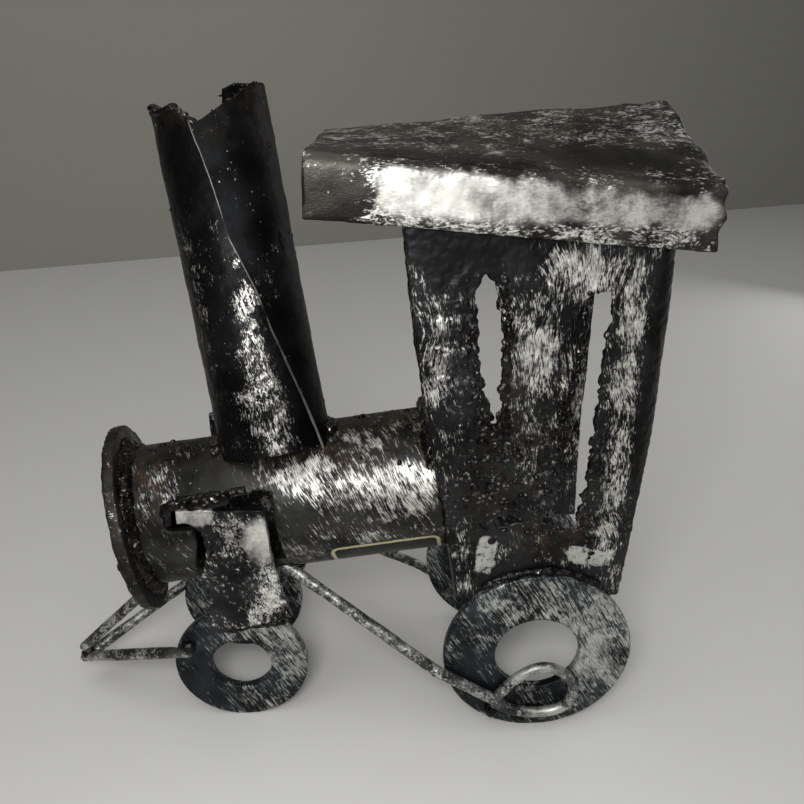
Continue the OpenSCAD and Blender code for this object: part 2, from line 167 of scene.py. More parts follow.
class Graph:
    """Builds one material's nodes."""

    def __init__(self, name: str) -> None:
        """Starts a material with a Principled shader."""
        self.material = bpy.data.materials.new(name)
        self.material.use_nodes = True
        self.tree = self.material.node_tree
        self.tree.nodes.clear()
        self.shader = self.node("ShaderNodeBsdfPrincipled")
        end = self.node("ShaderNodeOutputMaterial")
        self.tree.links.new(self.shader.outputs[0], end.inputs["Surface"])

    def node(self, kind: str, settings: dict | None = None, **sockets: object) -> bpy.types.Node:
        """Adds a node.

        Args:
            kind: The node's type.
            settings: Attributes set before the sockets.
            sockets: Values or links by socket name, with _ for a space, or i0, i1 by number.

        Returns:
            The new node.
        """
        made = self.tree.nodes.new(kind)
        for key, value in (settings or {}).items():
            setattr(made, key, value)
        for key, value in sockets.items():
            numbered = key[0] == "i" and key[1:].isdigit()
            socket = made.inputs[int(key[1:])] if numbered else made.inputs[key.replace("_", " ")]
            self.plug(socket, value)
        return made

    def plug(self, socket: bpy.types.NodeSocket, value: object) -> None:
        """Links or sets one input socket."""
        if isinstance(value, Value):
            self.tree.links.new(value.socket, socket)
        else:
            socket.default_value = value

    def maths(self, operation: str, a: Number, b: Number = 0.0) -> Value:
        """A Math node."""
        made = self.node("ShaderNodeMath", {"operation": operation}, i0=a, i1=b)
        return Value(self, made.outputs[0])

    def vector(self, operation: str, a: object, b: object = (0.0, 0.0, 0.0), out: int = 0) -> Value:
        """A Vector Math node."""
        made = self.node("ShaderNodeVectorMath", {"operation": operation}, i0=a, i1=b)
        return Value(self, made.outputs[out])

    def place(self) -> Value:
        """Object coordinates in millimetres from the workshop's zero."""
        raw = Value(self, self.node("ShaderNodeTexCoord").outputs["Object"])
        moved = self.vector("SUBTRACT", raw, tuple(Shop.zero))
        return self.vector("MULTIPLY", moved, (1.0 / MM,) * 3)

    def split(self, vector: Value) -> tuple[Value, Value, Value]:
        """A vector's three parts."""
        made = self.node("ShaderNodeSeparateXYZ", i0=vector)
        return tuple(Value(self, s) for s in made.outputs)

    def noise(self, at: Value, size: float, stretch: Triple = (1.0, 1.0, 1.0),
              detail: float = 3.0, roughness: float = 0.55, seed: float = 0.0,
              warp: float = 0.0) -> Value:
        """Fractal noise.

        Args:
            at: Where it is read, in millimetres.
            size: The size of its largest blots, in millimetres.
            stretch: How much finer it is along each axis.
            detail: How many finer layers it has.
            roughness: How strong those layers are.
            seed: Moves the pattern.
            warp: How much it twists.

        Returns:
            The noise, about 0.5 on average.
        """
        scaled = self.vector("MULTIPLY", at, tuple(s / size for s in stretch))
        moved = self.vector("ADD", scaled, (seed, seed * 1.7, -seed))
        made = self.node("ShaderNodeTexNoise", {"noise_dimensions": "3D"}, Vector=moved, Scale=1.0,
                         Detail=detail, Roughness=roughness, Distortion=warp)
        return Value(self, made.outputs[0])

    def turned(self, at: Value, degrees: float) -> Value:
        """Coordinates turned about the Y axis."""
        made = self.node("ShaderNodeMapping", Vector=at, Rotation=(0.0, math.radians(degrees), 0.0))
        return Value(self, made.outputs[0])

    def swirled(self, at: Value, size: float, reach: float) -> Value:
        """Coordinates that wander by up to about reach millimetres over a length of size."""
        scaled = self.vector("MULTIPLY", at, (1.0 / size,) * 3)
        wander = self.node("ShaderNodeTexNoise", Vector=scaled, Scale=1.0, Detail=1.0)
        centred = self.vector("SUBTRACT", Value(self, wander.outputs[1]), (0.5, 0.5, 0.5))
        return self.vector("ADD", at, self.vector("MULTIPLY", centred, (reach * 2.0,) * 3))

    def cells(self, at: Value, size: float, seed: float = 0.0) -> Value:
        """Distance to the nearest of scattered points, in cells."""
        moved = self.vector("ADD", at, (seed, -seed, seed * 0.5))
        made = self.node("ShaderNodeTexVoronoi", {"feature": "F1"}, Vector=moved, Scale=1.0 / size)
        return Value(self, made.outputs[0])

    def blend(self, factor: Number, a: object, b: object) -> Value:
        """A colour mix."""
        made = self.node("ShaderNodeMix", {"data_type": "RGBA"}, i0=factor)
        for key, value in (("A", a), ("B", b)):
            socket = [s for s in made.inputs if s.name == key and s.type == "RGBA"][0]
            self.plug(socket, value if isinstance(value, Value) else (*value, 1.0))
        return Value(self, [s for s in made.outputs if s.type == "RGBA"][0])

    def feed(self, socket: str, value: object) -> None:
        """Links or sets one socket of the shader."""
        self.plug(self.shader.inputs[socket], value)

    def relief(self, height: Value, depth: float) -> None:
        """Bumps the shader's normal by a height of depth millimetres per unit."""
        made = self.node("ShaderNodeBump", Strength=1.0, Distance=depth * MM, Height=height)
        self.tree.links.new(made.outputs[0], self.shader.inputs["Normal"])


FULL, GONE = 0.3, 1.3  # distances, in radii, where a zone starts to fade and where it ends


@dataclass(frozen=True)
class Zone:
    """A soft ellipsoid in workshop millimetres where something is stronger."""

    centre: Triple
    radii: Triple
    strength: float = 1.0

    def mask(self, graph: Graph, at: Value) -> Value:
        """The zone's strength at each point."""
        offset = graph.vector("SUBTRACT", at, self.centre)
        scaled = graph.vector("MULTIPLY", offset, tuple(1.0 / r for r in self.radii))
        distance = graph.vector("LENGTH", scaled, out=1)
        return distance.step(GONE, FULL) * self.strength

    def weight(self, points: Array) -> Array:
        """The zone's strength at workshop points, 0 to 1."""
        distance = np.linalg.norm((points - np.array(self.centre)) / np.array(self.radii), axis=1)
        return np.clip((GONE - distance) / (GONE - FULL), 0.0, 1.0) * min(self.strength, 1.0)


@dataclass(frozen=True)
class Swath:
    """A soft band round a straight line in workshop millimetres where something is stronger."""

    start: Triple
    end: Triple
    radius: float
    strength: float = 1.0

    def mask(self, graph: Graph, at: Value) -> Value:
        """The band's strength at each point."""
        run = tuple(b - a for a, b in zip(self.start, self.end))
        length = sum(r * r for r in run)
        offset = graph.vector("SUBTRACT", at, self.start)
        share = ((graph.vector("DOT_PRODUCT", offset, run, out=1) / length) | 0.0) & 1.0
        foot = graph.node("ShaderNodeVectorMath", {"operation": "SCALE"}, i0=run, Scale=share)
        apart = graph.vector("SUBTRACT", offset, Value(graph, foot.outputs[0]))
        distance = graph.vector("LENGTH", apart, out=1) / self.radius
        return distance.step(GONE, FULL) * self.strength


Place = Union[Zone, Swath]


def patches(y: float, depth: float, *rows: tuple[float, float, float, float, float]) -> tuple[Zone, ...]:
    """Zones on the upright face at y, each from its centre x and z, radii along them and strength."""
    return tuple(Zone((x, y, z), (rx, depth, rz), strength) for x, z, rx, rz, strength in rows)


def joined(graph: Graph, at: Value, zones: Iterable[Place]) -> Number:
    """The strongest of several zones at each point."""
    total: Number = 0.0
    for zone in zones:
        mask = zone.mask(graph, at)
        total = mask if isinstance(total, float) else total | mask
    return total


BRUSH_GAIN, SOOT_AND_SHADE_LOSS, SHEEN_GAIN = 0.72, 0.7, 1.25  # how far a zone raises or lowers the polish; the sheen's rise is a painted highlight, and the soot's fall is painted shade in places
POLISH_EDGE, SHEEN_EDGE = (0.30, 0.92), (0.22, 1.0)  # where brushed metal and the painted sheen set in
SPECK_SHARE = 0.5  # polish of the small bright specks
CRUST_GLAZE = 0.16  # how much less rough a crust is
METALLIC = 0.72
RELIEF = 0.3  # millimetres of bump for a height of 1
BROWN = (0.070, 0.042, 0.022)


def shade(colour: Triple, factor: float) -> Triple:
    """A colour made darker or lighter."""
    return tuple(c * factor for c in colour)


@dataclass(frozen=True)
class WornSteel:
    """Blackened steel, brushed bright in places.

    Attributes:
        name: The finish's name.
        dark: Colour of the oxide.
        bright: Colour of the brushed metal.
        base_polish: How much of it is brushed outside the zones, 0 to 1.
        brushed: Where the brush went; on the boiler's upper near side also a painted highlight.
        painted_sheen: Painted highlights, where the metal is made smooth and bright all over.
        soot: Where it is darker; on the boiler's underside, on the roof above its fold and its sloping right
            part, on the cab side under the roof's flange and on the leg under the boiler window's edge this is
            painted shade.
        tint: Where heat or rust turned it brown.
        stroke: How much finer the brush strokes are along each axis.
        width: Width of the strokes' largest groups, in millimetres.
        lean: Degrees that the strokes lean over, about the Y axis.
        swirl: How far the strokes wander, in millimetres.
        slag: Height of the pitted crust in millimetres.
        crust: Where that crust is.
        roughness: Roughness of the metal.
        gloss: How strongly the oxide shines.
    """

    name: str
    dark: Triple = (0.016, 0.0165, 0.017)
    bright: Triple = (0.74, 0.73, 0.675)
    base_polish: float = 0.10
    brushed: tuple[Place, ...] = ()
    painted_sheen: tuple[Place, ...] = ()
    soot: tuple[Place, ...] = ()
    tint: tuple[Place, ...] = ()
    stroke: Triple = (2.4, 2.4, 0.30)
    width: float = 1.5
    lean: float = 0.0
    swirl: float = 1.5
    slag: float = 0.0
    crust: tuple[Zone, ...] = ()
    roughness: float = 0.46
    gloss: float = 0.3

    def extras(self, graph: Graph, at: Value, colour: Value) -> Value:
        """Paint or marks over the steel; the plain finish has none."""
        return colour

    def coordinates(self, graph: Graph, at: Value) -> Value:
        """The coordinates that the brush strokes follow."""
        return at

    def strokes(self, g: Graph, at: Value) -> tuple[Value, Value]:
        """Wide and fine brush strokes."""
        along = g.swirled(g.turned(self.coordinates(g, at), self.lean), 16.0, self.swirl)
        wide = g.noise(along, self.width, self.stroke, detail=5.0, roughness=0.68, warp=0.25)
        fine = g.noise(along, self.width * 0.3, self.stroke, detail=2.0, roughness=0.6, seed=7.3)
        return wide, fine

    def build(self) -> bpy.types.Material:
        """Builds the material."""
        g = Graph(self.name)
        at = g.place()
        wide, fine = self.strokes(g, at)
        blots = g.noise(at, 7.0, detail=5.0, roughness=0.66, seed=3.1, warp=0.4)
        grit = g.noise(at, 0.8, detail=4.0, roughness=0.72, seed=11.0)
        patch = g.noise(at, 2.6, detail=3.0, roughness=0.6, seed=27.0)
        # Soot zones darken the oxide; several of them are painted shade.
        soot_and_shade = joined(g, at, self.soot)
        want = self.base_polish + joined(g, at, self.brushed) * BRUSH_GAIN - soot_and_shade * SOOT_AND_SHADE_LOSS
        want = want + (blots - 0.5) * 1.9
        marks = (wide - 0.5) * 2.3 + (fine - 0.5) * 1.7 + (grit - 0.5) * 0.7 + (patch - 0.5) * 0.9
        polish_and_highlight = (want + marks).step(*POLISH_EDGE)
        # Painted sheen: smooth bright metal colour where a highlight is painted.
        painted_sheen_mask = joined(g, at, self.painted_sheen)
        if self.painted_sheen:
            painted_sheen = painted_sheen_mask * SHEEN_GAIN + (blots - 0.5) * 1.6 + (patch - 0.5) * 0.7
            polish_and_highlight = polish_and_highlight | (painted_sheen + (wide - 0.5) * 0.5).step(*SHEEN_EDGE)
        specks = g.cells(at, 2.1, seed=5.0).step(0.10, 0.06)
        polish_and_highlight = polish_and_highlight | specks * g.noise(at, 4.0, seed=9.0).step(0.54, 0.62) * SPECK_SHARE
        crust = joined(g, at, self.crust)
        height = wide * 0.10 + fine * 0.10 + grit * 0.16
        tone_of_metal = fine * 0.6 + patch * 0.4
        if self.painted_sheen:
            calm = (painted_sheen_mask & 1.0) * 0.8
            height = height * (1.0 - calm)
            tone_of_metal = tone_of_metal * (1.0 - calm) + (blots * 0.9 + 0.06) * calm
        if self.slag:
            lumps = g.noise(at, 2.6, (1.0, 1.0, 0.7), detail=5.0, roughness=0.66, seed=2.0, warp=0.6)
            pits = g.cells(at, 1.25, seed=1.0).step(0.0, 0.55)
            height = height + (lumps * 1.1 + pits * 0.45) * crust * (self.slag / RELIEF)
            scale = crust * lumps.step(0.66, 0.44)
            polish_and_highlight = polish_and_highlight * (1.0 - scale * 0.9)
            # Glints: painted highlights, small spots of bright metal colour on the crust.
            glints = g.cells(g.swirled(at, 0.8, 0.5), 1.3, seed=21.0).step(0.30, 0.14)
            glints = glints * g.noise(at, 2.6, seed=15.0).step(0.48, 0.60)
            polish_and_highlight = polish_and_highlight | crust * glints * 0.8
        tone = g.noise(at, 11.0, detail=3.0, seed=6.0).step(0.36, 0.68)
        if self.soot:
            tone = tone * (1.0 - (soot_and_shade & 1.0))
        dark = g.blend(tone, shade(self.dark, 0.45), shade(self.dark, 2.2))
        if self.tint:
            mark = g.noise(at, 3.2, detail=4.0, seed=8.0).step(0.38, 0.66)
            dark = g.blend(joined(g, at, self.tint) * mark * 0.75, dark, BROWN)
        metal = g.blend(tone_of_metal.step(0.34, 0.62), shade(self.bright, 0.22), self.bright)
        g.feed("Base Color", self.extras(g, at, g.blend(polish_and_highlight, dark, metal)))
        g.feed("Metallic", METALLIC)
        g.feed("Specular IOR Level", self.gloss)
        g.feed("Roughness", (grit - 0.5) * 0.3 + self.roughness - crust * CRUST_GLAZE)
        g.relief(height, RELIEF)
        return g.material


@dataclass(frozen=True)
class LabelledBoilerSteel(WornSteel):
    """The boiler's steel, with the cream outline of an empty plate painted low on the near side."""

    label_centre: tuple[float, float] = (-12.6, -46.0)
    label_half: tuple[float, float] = (10.9, 21.0)
    label_corner: float = 1.6
    around: float = 0.262
    cream: Triple = (0.66, 0.60, 0.36)
    plate: Triple = (0.02, 0.02, 0.018)

    def coordinates(self, graph: Graph, at: Value) -> Value:
        """Length along the boiler, radius, and length round it."""
        x, angle, radius = boiler_polar(graph, at)
        made = graph.node("ShaderNodeCombineXYZ", X=x, Y=radius, Z=angle * self.around)
        return Value(graph, made.outputs[0])

    def extras(self, graph: Graph, at: Value, colour: Value) -> Value:
        """Paints the rounded outline, in length along the axis and degrees round it."""
        x, angle, radius = boiler_polar(graph, at)
        middle_x, middle_angle = self.label_centre
        half_length, half_angle = self.label_half
        du = graph.maths("ABSOLUTE", x - middle_x) - (half_length - self.label_corner)
        dv = (graph.maths("ABSOLUTE", angle - middle_angle) - half_angle) * self.around
        dv = dv + self.label_corner
        corner = ((du | 0.0) ** 2.0 + (dv | 0.0) ** 2.0) ** 0.5
        edge = corner + ((du | dv) & 0.0) - self.label_corner
        wobble = (graph.noise(at, 2.0, seed=4.0) - 0.5) * 0.3
        outer = radius.step(14.2, 14.6)
        line = graph.maths("ABSOLUTE", edge + wobble).step(0.46, 0.30) * outer
        inside = edge.step(-0.2, -0.6) * outer
        plate = graph.blend(inside * 0.85, colour, self.plate)
        return graph.blend(line * 0.95, plate, self.cream)


def boiler_polar(graph: Graph, at: Value) -> tuple[Value, Value, Value]:
    """Length along the boiler's axis, angle round it in degrees from the near side, and radius."""
    tilt = math.radians(BOILER_TILT)
    origin = BOILER[:3, 3]
    px, py, pz = graph.split(graph.vector("SUBTRACT", at, tuple(origin)))
    x = px * math.cos(tilt) + pz * math.sin(tilt)
    z = pz * math.cos(tilt) - px * math.sin(tilt)
    angle = graph.maths("ARCTAN2", z, py * -1.0) * (180.0 / math.pi)
    radius = (py * py + z * z) ** 0.5
    return x, angle, radius


FREE_EDGE = "free_edge"


@dataclass(frozen=True)
class LappedSteel(WornSteel):
    """The chimney flap's steel, with a painted highlight along its free edge."""

    def extras(self, graph: Graph, at: Value, colour: Value) -> Value:
        """Paints a highlight along the free edge, which the mesh marks with an attribute."""
        marked = graph.node("ShaderNodeAttribute", {"attribute_name": FREE_EDGE})
        edge = Value(graph, marked.outputs[2])
        highlight_patches = graph.noise(at, 3.0, (1.0, 1.0, 0.4), detail=3.0, seed=17.0).step(0.36, 0.60)
        return graph.blend(edge.step(0.7, 0.98) * (highlight_patches * 0.5 + 0.04), colour, (0.46, 0.45, 0.40))


@dataclass(frozen=True)
class PaintedCabSteel(WornSteel):
    """The near cab side's steel, with plain dabs of white paint at its foot.

    Attributes:
        dabs: Centre x and z, half width, half height and turn in degrees of each.
        paint: Colour of the paint.
        face: Where the side's outer face is.
    """

    dabs: tuple[tuple[float, float, float, float, float], ...] = (
        (-11.6, 44.2, 1.9, 4.3, -8.0),
        (9.2, 43.4, 4.6, 2.0, -14.0),
    )
    paint: Triple = (0.56, 0.57, 0.52)
    face: float = -15.8

    def extras(self, graph: Graph, at: Value, colour: Value) -> Value:
        """Paints each dab as a ragged oblong."""
        x, y, z = graph.split(at)
        ragged = (graph.noise(at, 1.8, detail=5.0, roughness=0.7, seed=12.0) - 0.5) * 1.3
        thin = graph.noise(at, 1.1, detail=4.0, roughness=0.75, seed=31.0).step(0.30, 0.52)
        paint: Number = 0.0
        for cx, cz, rx, rz, turn in self.dabs:
            c, s = math.cos(math.radians(turn)), math.sin(math.radians(turn))
            u = ((x - cx) * c + (z - cz) * s) / rx
            v = ((z - cz) * c - (x - cx) * s) / rz
            mask = ((u ** 4.0 + v ** 4.0) ** 0.25 + ragged).step(1.08, 0.90)
            paint = mask if isinstance(paint, float) else paint | mask
        outer = y.step(self.face + 0.3, self.face)
        return graph.blend(paint * outer * thin * 0.92, colour, self.paint)


@dataclass(frozen=True)
class PlainStage:
    """The floor's or the backdrop's plain surface."""

    name: str
    colour: Triple
    roughness: float = 0.75

    def build(self) -> bpy.types.Material:
        """Builds the material."""
        g = Graph(self.name)
        at = g.place()
        tone = g.noise(at, 60.0, detail=2.0)
        g.feed("Base Color", g.blend(tone * 0.08, self.colour, tuple(c * 0.9 for c in self.colour)))
        g.feed("Roughness", self.roughness)
        g.feed("Specular IOR Level", 0.25)
        return g.material


class Finish(Enum):
    """Every finish on the engine."""

    BOILER = LabelledBoilerSteel(
        "boiler_steel", base_polish=0.08, dark=(0.019, 0.019, 0.0175), bright=(0.64, 0.63, 0.575),
        brushed=(
            # The first swath is partly brushed steel and partly a painted highlight along the boiler's upper
            # near side.
            Swath((-49, -11, 60.5), (-26, -13, 60), 5.2, 0.76), Zone((-75, -9.5, 58.5), (3.8, 5, 6), 0.75),
            Zone((-32, -14.5, 55), (9, 4, 4), 0.5), Zone((-25, -14, 57), (4, 5, 8), 0.9),
            Swath((-40, -6, 66), (-24, -6, 68), 4.0, 0.32), Zone((-32, -14.5, 49), (10, 4, 5), 0.25),
            Swath((-48, 13, 58), (-28, 14, 58), 5.0, 0.55), Swath((-70, 13, 55), (-62, 13, 54), 4.0, 0.45)),
        # The second soot zone, low on the near side, is painted shade on the boiler's underside.
        soot=(Zone((-68, -10, 60), (6, 8, 8), 0.5), Zone((-24, -10, 40), (14, 8, 5), 0.8)),
        tint=(Zone((-52, -4, 66), (22, 12, 6)), Zone((-26, 0, 69), (12, 14, 5)),
              Zone((-80, -6, 58), (6, 12, 8), 0.8)),
        stroke=(2.4, 0.6, 0.30), lean=22.0)
    DISC = WornSteel(
        "front_plate_steel", base_polish=0.02, dark=(0.014, 0.014, 0.0135),
        brushed=(Zone((-88, 4, 58), (4, 9, 7), 0.5), Zone((-86, -4, 44), (4, 7, 5), 0.4)),
        tint=(Zone((-84, -6, 52), (6, 16, 16)),), stroke=(1.6, 1.6, 1.6), roughness=0.5)
    CHIMNEY = WornSteel(
        "chimney_steel", base_polish=-0.08, dark=(0.0065, 0.0068, 0.007), bright=(0.60, 0.59, 0.545),
        brushed=(
            Swath((-57.2, -3, 95), (-55, -7, 83), 2.8, 0.8), Swath((-69, 1, 108), (-66, -2, 92), 2.4, 0.48),
            Swath((-55.6, -7, 84), (-52.8, -9, 76), 4.4, 0.88), Swath((-58.5, 0, 108), (-57, -3, 97), 1.2, 0.5),
            Swath((-55, -9, 76), (-51, -11, 68.5), 5.4, 0.84), Zone((-57, 12, 90), (8, 6, 26), 0.35)),
        soot=(Zone((-43.5, 0, 92), (8, 16, 44)), Zone((-62, 4, 122), (14, 14, 12), 0.6)),
        tint=(Zone((-66, 12, 130), (14, 14, 6)),), stroke=(2.4, 2.4, 0.42), lean=10.0, roughness=0.44,
        gloss=0.15)
    FLAP = LappedSteel(
        "chimney_flap_steel", base_polish=-0.2, dark=(0.0055, 0.0058, 0.006),
        tint=(Zone((-50, 4, 126), (14, 14, 5), 0.4),), stroke=(2.4, 2.4, 0.42), roughness=0.55, gloss=0.15)
    CAB = PaintedCabSteel(
        "cab_side_steel", base_polish=0.08, dark=(0.012, 0.0125, 0.013),
        brushed=(Swath((12.8, -16, 100), (12.8, -16, 44), 3.0, 0.72), *patches(
            -16, 4, (4.5, 101.5, 11, 6, 0.76), (-4, 88, 6.5, 15, 0.6), (-21.5, 86, 3, 12, 0.62),
            (-17.5, 64, 2.6, 9, 0.3), (-2, 70, 7, 8, 0.32), (10, 38, 9, 5, 0.35), (-16, 44, 3, 10, 0.4))),
        # The soot zones high on the side, at heights 107 and 111, are painted shadow under the roof's flange.
        soot=(Zone((18.6, -15, 84), (2.4, 6, 40)), *patches(
            -16, 4, (-17, 107, 11, 6.5, 0.9), (0, 39, 16, 2.6, 0.6), (-13, 60, 6, 13, 0.55),
            (0, 111, 26, 3.4, 0.9))),
        tint=patches(-16, 4, (2, 49, 9, 6, 0.5), (-12, 60, 7, 13, 0.25), (-4, 72, 7, 16, 0.25)),
        slag=0.45, crust=patches(
            -16, 5, (-12, 66, 8, 20, 1), (-1, 62, 8, 15, 1), (8, 58, 3, 16, 0.9), (-18, 88, 4, 12, 0.8)),
        stroke=(2.4, 1.0, 0.34), lean=6.0, swirl=4.0, gloss=0.4)
    SHEET = WornSteel(
        "sheet_steel", base_polish=0.14,
        brushed=(Zone((-4, 15, 92), (14, 5, 16), 0.6), Zone((10, 15, 62), (7, 5, 20), 0.45),
                 Zone((-24, -12, 84), (3, 4, 26), 0.6), Zone((-22, 8, 96), (4, 6, 12), 0.5)),
        tint=(Zone((-21, 0, 70), (6, 16, 12), 0.8),),
        slag=0.2, crust=(Zone((-60, -13, 46), (12, 4, 8), 0.7),), stroke=(2.2, 2.2, 0.5))
    LEG = WornSteel(
        "leg_steel", base_polish=0.24, bright=(0.86, 0.85, 0.79),
        brushed=patches(-13.6, 4, (-62, 49, 5, 6, 0.55), (-56, 38, 3, 9, 0.75), (-60, 33, 5, 7, 0.25)),
        # The sheen zones are painted highlights, on the leg's curved right part and on its tab.
        painted_sheen=(Zone((-57.0, -13.6, 47), (4.0, 4, 7)), Swath((-73, -13.6, 54), (-68, -13.6, 54), 2.8, 1.3)),
        # The thin soot zone at height 55.8 is a painted shadow of the boiler window's top edge on the leg.
        soot=patches(-13.6, 4, (-64, 33, 4, 5, 0.5), (-60, 55.8, 6, 1.6, 1)),
        slag=0.3, crust=(Zone((-62.5, -13.6, 42), (5, 5, 12)),), stroke=(1.6, 1.6, 0.7), lean=20.0)
    ROOF = WornSteel(
        "roof_steel", base_polish=0.20, dark=(0.034, 0.033, 0.027), bright=(0.80, 0.79, 0.73),
        brushed=(Zone((-36, -18, 115), (8, 3, 6), 0.25), Zone((-10, 8, 125), (34, 12, 5), 0.22),
                 Zone((22, 6, 125), (7, 14, 8), 0.45), Swath((-30, -18, 110.6), (18, -18, 107), 3.0, 0.55)),
        # The sheen swaths are a painted highlight along the roof's flange.
        painted_sheen=(Swath((-28, -18, 115.4), (-4, -18, 113.2), 4.6, 0.92),
               Swath((-8, -18, 113.4), (22, -18, 111.4), 3.8, 0.68)),
        # The first two soot zones are painted shade, in the band just above the fold and on the right part
        # where the roof slopes down.
        soot=(Zone((-24, -13.5, 122), (20, 4, 3), 0.6), Zone((8, -8, 118), (16, 7, 6), 0.7),
              Zone((-41, -18, 114), (8, 4, 8), 0.8), Zone((26, -18, 112), (5, 3, 6), 0.3)),
        tint=(Zone((-8, 8, 124), (42, 14, 6), 0.9),), stroke=(0.6, 1.8, 1.8), swirl=3.0, roughness=0.42)
    WASHER = WornSteel(
        "washer_steel", base_polish=0.26, dark=(0.016, 0.020, 0.023), bright=(0.58, 0.59, 0.56),
        brushed=(*patches(-18, 4, (12, 25, 10, 14, 0.74), (-2, 34, 15, 6, 0.34)),
                 *patches(-12, 4, (-55, 16, 6, 11, 0.5), (-62, 24, 7, 4, 0.3))),
        soot=(Zone((-12, -18, 13), (9, 4, 11), 0.5), Zone((-73, -12, 10), (8, 4, 11), 0.45)),
        stroke=(2.2, 1.0, 0.16), width=0.9, lean=30.0, swirl=0.8, roughness=0.42)
    WIRE = WornSteel(
        "wire_steel", base_polish=0.52, dark=(0.055, 0.056, 0.055), bright=(0.52, 0.52, 0.49),
        # The sheen patches are painted highlights on the near rod's loop.
        painted_sheen=patches(-19, 4, (3, 5, 7, 3.4, 1), (0, 16.5, 7, 2.6, 0.9)), stroke=(0.9, 0.9, 0.9))
    SLAG = WornSteel(
        "weld_slag", base_polish=-0.1, dark=(0.009, 0.008, 0.0075),
        tint=(Zone((-58, 4, 62), (22, 18, 9), 0.7),),
        slag=0.2, crust=(Zone((-40, 0, 60), (400, 400, 400), 0.7),),
        stroke=(1.0, 1.0, 1.0), roughness=0.38, gloss=0.5)
    FLOOR = PlainStage("studio_floor", (0.66, 0.655, 0.63))
    WALL = PlainStage("studio_wall", (0.37, 0.365, 0.32))


_MADE: dict[Finish, bpy.types.Material] = {}


def dress(piece: Piece, finish: Finish) -> None:
    """Gives a piece one finish all over."""
    if finish not in _MADE:
        _MADE[finish] = finish.value.build()
    piece.data.materials.clear()
    piece.data.materials.append(_MADE[finish])


# ---- bench work


def deselect() -> None:
    """Leaves object mode with nothing selected."""
    if bpy.context.object and bpy.context.object.mode != "OBJECT":
        bpy.ops.object.mode_set(mode="OBJECT")
    bpy.ops.object.select_all(action="DESELECT")


def pick(piece: Piece) -> None:
    """Selects one object and makes it active."""
    deselect()
    piece.select_set(True)
    bpy.context.view_layer.objects.active = piece


def settle(piece: Piece) -> None:
    """Puts a piece's place into its mesh, so that its object sits at the origin."""
    pick(piece)
    bpy.ops.object.transform_apply(location=True, rotation=True, scale=True)


def apply_all(piece: Piece) -> None:
    """Applies every modifier in order."""
    pick(piece)
    for modifier in list(piece.modifiers):
        bpy.ops.object.modifier_apply(modifier=modifier.name)


def bench_copy(node: str, name: str) -> Piece:
    """A closed, merged copy of a CAD node's mesh, to be worked on."""
    deselect()
    piece = bpy.data.objects.new(name, frame["nodes"][node].data.copy())
    bpy.context.scene.collection.objects.link(piece)
    pick(piece)
    if piece.data.has_custom_normals:
        bpy.ops.mesh.customdata_custom_splitnormals_clear()
    bpy.ops.object.mode_set(mode="EDIT")
    bpy.ops.mesh.select_all(action="SELECT")
    bpy.ops.mesh.remove_doubles(threshold=2e-6)
    bpy.ops.object.mode_set(mode="OBJECT")
    return piece


def fine_skin(piece: Piece, grain: float, soften: int = 2) -> None:
    """Turns a piece into one even fine mesh.

    Args:
        piece: The closed piece.
        grain: The mesh's size in millimetres.
        soften: How many times its edges are eased.
    """
    remesh = piece.modifiers.new("skin", "REMESH")
    remesh.mode = "VOXEL"
    remesh.voxel_size = grain * MM
    remesh.use_smooth_shade = True
    if soften:
        ease = piece.modifiers.new("ease", "SMOOTH")
        ease.factor = 0.5
        ease.iterations = soften
    apply_all(piece)


@dataclass(frozen=True)
class Hammering:
    """One layer of unevenness: the size of its dents and how deep they are, in millimetres."""

    size: float
    depth: float

    def beat(self, piece: Piece, where: Sequence[Zone] = ()) -> None:
        """Adds and applies the layer.

        Args:
            piece: The piece.
            where: The zones that it is kept to, or all over if there are none.
        """
        texture = bpy.data.textures.new(f"dents_{self.size:g}", "CLOUDS")
        texture.noise_scale = self.size * MM
        texture.noise_depth = 2
        layer = piece.modifiers.new("dents", "DISPLACE")
        layer.texture = texture
        layer.texture_coords = "LOCAL"
        layer.mid_level = 0.5
        layer.strength = self.depth * MM
        if where:
            points = Shop.local(vertices_of(piece))
            weights = np.max([zone.weight(points) for zone in where], axis=0)
            group = piece.vertex_groups.new(name="where")
            for level in range(1, 11):
                chosen = np.flatnonzero(np.round(weights * 10) == level)
                group.add(chosen.tolist(), level / 10, "REPLACE")
            layer.vertex_group = group.name
        apply_all(piece)
        if where:
            piece.vertex_groups.clear()


def vertices_of(piece: Piece) -> Array:
    """A piece's vertices in metres."""
    co = np.empty(len(piece.data.vertices) * 3)
    piece.data.vertices.foreach_get("co", co)
    return co.reshape(-1, 3)


def normals_of(piece: Piece) -> Array:
    """The outward direction at each of a piece's vertices."""
    normals = np.empty(len(piece.data.vertices) * 3)
    piece.data.vertices.foreach_get("normal", normals)
    return normals.reshape(-1, 3)


def shape(piece: Piece, push: Push) -> None:
    """Moves a piece's vertices by a function of workshop millimetres."""
    moved = Shop.row(push(Shop.local(vertices_of(piece))))
    piece.data.vertices.foreach_set("co", moved.ravel())
    piece.data.update()


def smooth(piece: Piece, degrees: float = 40.0) -> None:
    """Shades a piece smooth except at sharp edges."""
    pick(piece)
    bpy.ops.object.shade_smooth_by_angle(angle=math.radians(degrees))


def finish_piece(piece: Piece, finish: Finish, slot: str, *nodes: str) -> None:
    """Dresses a piece, fixes it to the engine and lets it stand for CAD nodes."""
    settle(piece)
    dress(piece, finish)
    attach(piece, "root")
    if nodes:
        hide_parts(*nodes)
    LOG.info("%s: %d faces", piece.name, len(piece.data.polygons))


